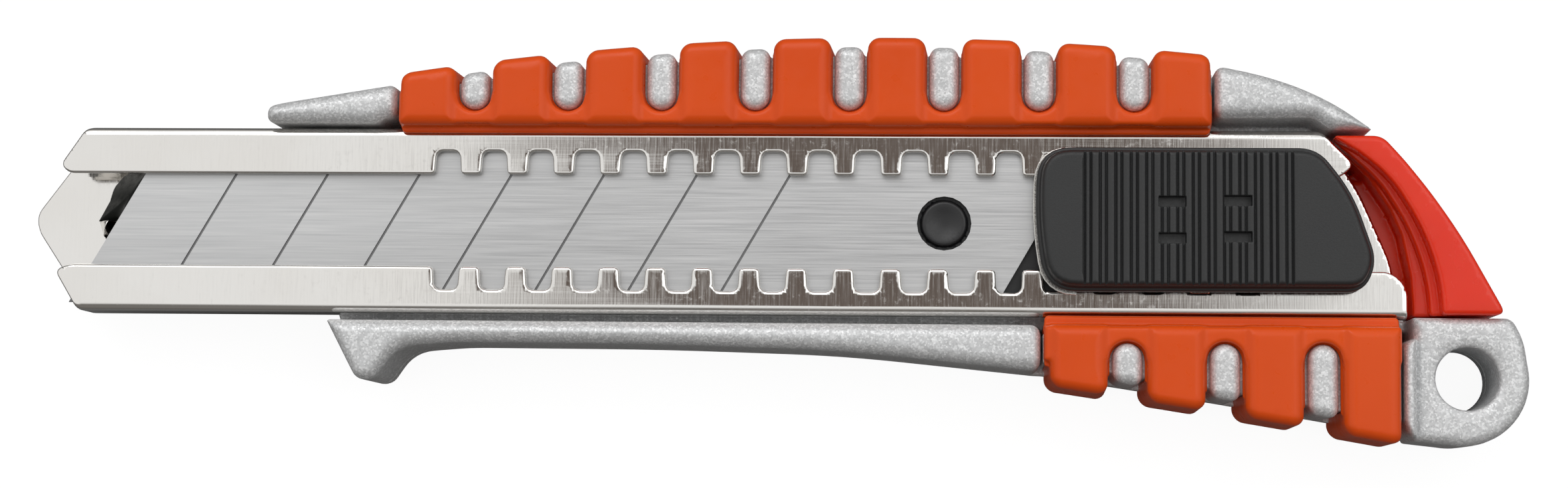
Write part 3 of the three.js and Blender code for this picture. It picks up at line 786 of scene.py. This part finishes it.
def cap_stair(inner):
    return outline([
        (56, 9.5), (inner - 9.1, 8.1, 1.5), (inner - 5.2, 5, 3), (inner - 1.8, -0.6, 5),
        (inner, -6.4, 4), (inner + 0.1, -12), (40, -12), (40, 9.5),
    ])


def end_cap():
    grid = Grid((57.9, -9.5, 0.6), (75.7, 9.35, 11.6), 0.12)
    solid = grid.plate(grid.flat(outline(CAP)), 0.6, 11.6, 0.55, 0.4)
    for inner, floor_z in CAP_STAIRS:
        slab = np.maximum(grid.flat(cap_stair(inner)), floor_z - grid.z)
        solid = cut(solid, slab, 0.4)
    foot = grid.plate(grid.flat(outline(CAP_FOOT)), 0.6, 4.4, 0.3)
    solid = join(solid, foot, 0.2)
    tongue = np.maximum(np.maximum(58.2 - grid.x, grid.x - 64.8), np.maximum(-8.9 - grid.y, grid.y - 6.1))
    solid = join(solid, grid.plate(tongue, 1.7, 3.4, 0.2), 0.3)
    add_piece("cap_shell", field_mesh("cap_shell", grid, solid), RED, "cap", "cap_red", "end_cap")


# ---- Slider ----

def slide_carrier():
    grid = Grid((9, -8.6, 6.5), (58.2, 8.6, 12.1), 0.14)
    solid = grid.plate(grid.flat(rectangle(9, 58.2, -8.6, 8.6, 2)), 6.5, 8.8, 0.25)
    seat = grid.plate(grid.flat(rectangle(33.75, 57.2, -7.6, 7.6, 0.5)), 6.5, 9.28, 0.2)
    neck = grid.plate(grid.flat(rectangle(36.6, 53.4, -3.9, 3.9, 0.8)), 6.5, 12.1, 0.3)
    solid = join(join(solid, seat, 0.2), neck, 0.3)
    boss = grid.disc((BLADE_HOLE_X, 0), 2.45)
    boss = rounded_max(boss, grid.z - 9.55, 0.4)
    solid = join(solid, np.maximum(boss, 6.6 - grid.z), 0.1)
    bowl = np.sqrt(grid.disc((BLADE_HOLE_X, 0), 0) ** 2 + (grid.z - 13.9) ** 2) - 4.7
    solid = cut(solid, bowl, 0.2)
    add_piece("carrier_moulding", field_mesh("carrier_moulding", grid, solid), CARRIER_BLACK,
              "slider", "carrier_black", "slide_carrier")


PAD = [
    (27.2, 7.5, 3.2), (26.9, 0, 12), (28, -7.05, 3), (60.6, -6.95, 1.8),
    (61.8, -4, 3.5), (59.4, 3, 6), (55.9, 7.5, 1.8),
]
PAD_Z = 14.4
PAD_FOOT_Z = 10.05
RIDGES = {"first": 32.02, "pitch": 1.61, "count": 14, "half": 0.2}
RIB_ZONE = (31.6, 53.75)
WINDOW_PLACES = ((40.8, 1.95), (40.8, -1.9), (47.65, 2.05), (47.65, -1.75))
LEAF_Z = 10.6
LEAF_HALF = 0.08
LEAF_MARGIN = 0.62                       # how far the bright rim stands out around the pad
LEAF_REAR_X = 31


def ribs(x):
    """Depth of the pad's relief: narrow ridges with a groove on either side and wide ribs between them."""
    index = np.clip(np.round((x - RIDGES["first"]) / RIDGES["pitch"]), 0, RIDGES["count"] - 1)
    off = np.abs(x - RIDGES["first"] - index * RIDGES["pitch"])
    groove = 0.42 * np.exp(-((off - 0.31) / 0.095) ** 2)
    ridge = 0.08 * np.exp(-(off / 0.16) ** 2)
    wide = 0.05 * np.clip((off - 0.45) / 0.35, 0, 1)
    fade = np.clip(np.minimum(x - RIB_ZONE[0], RIB_ZONE[1] - x) / 0.1, 0, 1)
    return (groove + ridge + 0.05 - wide) * fade


def thumb_pad():
    grid = Grid((26.4, -7.5, PAD_FOOT_Z), (62.2, 7.9, PAD_Z), 0.085)
    flat = grid.flat(outline(PAD))
    skirt = grid.plate(flat - 0.35, 11.4, 12.6, 0.25, 0.2)
    slope_out = 0.12 * (PAD_Z - grid.z)
    top = PAD_Z - ribs(grid.x)
    crown = rounded_max(flat + 0.25 - slope_out, grid.z - PAD_Z, 0.5)
    crown = np.maximum(np.maximum(crown, (grid.z - top) * 0.7), 11.5 - grid.z)
    solid = join(skirt, crown, 0.2)
    for x, y in WINDOW_PLACES:
        hole = np.maximum(np.abs(grid.x - x) - 1.42, np.abs(grid.y - y) - 0.54)
        solid = cut(solid, np.maximum(hole, 13.35 - grid.z), 0.06)
    socket = np.maximum(np.maximum(36.35 - grid.x, grid.x - 53.65), np.abs(grid.y) - 4.15)
    solid = cut(solid, np.maximum(socket, grid.z - 12.9), 0.1)
    for x in (34.7, 55.3):
        foot = np.maximum(np.abs(grid.x - x) - 0.7, np.abs(grid.y) - 3.2)
        solid = join(solid, grid.plate(foot, PAD_FOOT_Z, 12, 0.1), 0.1)
    add_piece("pad_moulding", field_mesh("pad_moulding", grid, solid, 0.01), PAD_BLACK,
              "thumb", "pad_black", "thumb_pad")


def pad_leaf():
    """Thin bright sheet whose rim shows round the front corners of the pad."""
    grid = Grid((26.2, -7.9, LEAF_Z - 0.07), (32.5, 7.9, LEAF_Z + 0.08), 0.06)
    flat = grid.flat(outline(PAD)) - LEAF_MARGIN
    leaf = np.maximum(flat, grid.x - LEAF_REAR_X)
    leaf = np.maximum(np.abs(grid.z - LEAF_Z) - LEAF_HALF, leaf)
    leaf = cut(leaf, np.maximum(np.abs(grid.y) - 5.0, 28.2 - grid.x))
    add_piece("pad_leaf", field_mesh("pad_leaf", grid, leaf, 0.01), SPRING_STEEL, "slider", "spring_steel")


# ---- Fasteners ----

def cover_screw(number, place):
    """Small pan-head screw with a cross recess."""
    grid = Grid((place[0] - 1.4, place[1] - 1.4, 0.25), (place[0] + 1.4, place[1] + 1.4, 6.4), 0.07)
    head = rounded_max(grid.disc(place, 1.4), 0.25 - grid.z, 0.35)
    head = np.maximum(head, grid.z - 1.25)
    thread = 0.06 * np.sin(grid.z * 14)
    shank = np.maximum(np.maximum(grid.disc(place, 0.72) - thread, 1.1 - grid.z), grid.z - 6.4)
    solid = np.minimum(head, shank)
    reach = 0.95 - 0.5 * np.clip(grid.z - 0.25, 0, 1)
    along_x = np.maximum(np.abs(grid.x - place[0]) - reach, np.abs(grid.y - place[1]) - 0.2)
    along_y = np.maximum(np.abs(grid.y - place[1]) - reach, np.abs(grid.x - place[0]) - 0.2)
    recess = np.maximum(np.minimum(along_x, along_y), grid.z - 0.95)
    solid = cut(solid, recess, 0.05)
    name = f"screw_{number}"
    add_piece(name, field_mesh(name, grid, solid, 0.005), SCREW_STEEL,
              "root", "screw_steel", f"cover_screw_{number}")


def dress_plain_nodes():
    """Flat and turned pieces keep their exact CAD shape under a real finish."""
    finishes = {"snap_blade": BLADE_STEEL, "lock_spring": SPRING_STEEL}
    finishes.update({f"channel_rivet_{i + 1}": CHANNEL_STEEL for i in range(len(RIVETS_X))})
    finishes.update({f"spare_blade_{i + 1}": BLADE_STEEL for i in range(SPARE_COUNT)})
    for name, material in finishes.items():
        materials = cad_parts[name].data.materials
        materials.clear()
        materials.append(material)


# ---- Stage ----

VIEW = Vector((0.06077, -0.09585, 0.99354))   # from the knife towards the camera
AIM = (0, -2.39, 10.5)
DISTANCE = 300                           # mm
ROLL = math.radians(0.65)
LENS = 64.7                              # mm, on a sensor 36 mm wide
FLOOR_GAP = 0.0004                       # m


def camera():
    forward = -VIEW.normalized()
    right = forward.cross(Vector((0, 1, 0))).normalized()
    up = right.cross(forward)
    turned_right = right * math.cos(ROLL) + up * math.sin(ROLL)
    turned_up = up * math.cos(ROLL) - right * math.sin(ROLL)
    data = bpy.data.cameras.new("camera")
    data.lens = LENS
    data.sensor_width = 36
    data.clip_start = 0.01
    data.clip_end = 10
    eye = row(AIM) + VIEW.normalized() * DISTANCE * MM
    turn = Matrix((turned_right, turned_up, -forward)).transposed().to_4x4()
    view = bpy.data.objects.new("camera", data)
    view.matrix_world = Matrix.Translation(eye) @ turn
    bpy.context.scene.collection.objects.link(view)
    bpy.context.scene.camera = view


def softbox(name, place, size, power):
    """A rectangular light, millimetres, that points at the middle of the knife."""
    data = bpy.data.lights.new(name, "AREA")
    data.shape = "RECTANGLE"
    data.size, data.size_y = size[0] * MM, size[1] * MM
    data.energy = power
    lamp = bpy.data.objects.new(name, data)
    lamp.location = row(place)
    lamp.rotation_euler = (row((0, 0, 0)) - row(place)).to_track_quat("-Z", "Y").to_euler()
    bpy.context.scene.collection.objects.link(lamp)


def surroundings():
    """A pale studio, darker towards its walls and where the camera stands."""
    world = bpy.data.worlds.new("studio")
    world.use_nodes = True
    bpy.context.scene.world = world
    p = Tree(world.node_tree)
    ray = p.node("ShaderNodeTexCoord").outputs["Generated"]
    split = p.node("ShaderNodeSeparateXYZ", {"Vector": ray}).outputs
    overhead = p.remap(split["Z"], 0.10, 0.45, 0.0, 1.0)
    color = p.mix(overhead, (0.20, 0.19, 0.18), (0.93, 0.93, 0.925))
    person = p.remap(split["Y"], -0.26, -0.48, 0.0, 0.92)
    color = p.mix(person, color, (0.13, 0.12, 0.11))
    towards = Vector((-0.02, 0.09, 1)).normalized()
    rim, core = math.cos(math.radians(9)), math.cos(math.radians(5))
    camera_shade = p.remap(p.dot(ray, towards), rim, core, 0.0, 0.95)
    color = p.mix(camera_shade, color, (0.10, 0.072, 0.058))
    background = world.node_tree.nodes["Background"]
    world.node_tree.links.new(color, background.inputs["Color"])
    background.inputs["Strength"].default_value = 1.0


def floor():
    """A pale sheet under the knife. It glows where it is looked at, which keeps the shadow faint."""
    mesh = bpy.data.meshes.new("floor")
    half = 3.0
    corners = [(-half, -half, 0), (half, -half, 0), (half, half, 0), (-half, half, 0)]
    mesh.from_pydata(corners, [], [(0, 1, 2, 3)])
    sheet = bpy.data.objects.new("floor", mesh)
    sheet.location = (ORIGIN.x, ORIGIN.y, -FLOOR_GAP)
    bpy.context.scene.collection.objects.link(sheet)
    p = Paint("floor_sheet", IOR=1.3, Roughness=0.9, Emission_Color=(1, 1, 1, 1))
    grain = p.remap(p.noise(2, 2.0), 0.3, 0.7, 0.97, 1.0)
    seen = p.node("ShaderNodeLightPath").outputs["Is Camera Ray"]
    shade = p.math("MULTIPLY", grain, p.remap(seen, 0, 1, 0.16, 0.12))
    color = p.node("ShaderNodeCombineColor", {"Red": shade, "Green": shade, "Blue": shade}).outputs["Color"]
    mesh.materials.append(p.wire(Base_Color=color, Emission_Strength=p.remap(seen, 0, 1, 0.0, 0.93)))


def build():
    handle_frame()
    back_cover()
    upper_grip()
    lower_grip()
    blade_channel()
    mouth_ramp()
    end_cap()
    slide_carrier()
    thumb_pad()
    pad_leaf()
    for number, place in enumerate(SCREWS):
        cover_screw(number + 1, place)
    dress_plain_nodes()


def light():
    surroundings()
    softbox("key", (-150, 480, 560), (500, 400), 1.3)
    softbox("fill", (350, 200, 600), (400, 400), 0.5)


build()
floor()
light()
camera()
bpy.context.scene.view_settings.view_transform = "Standard"
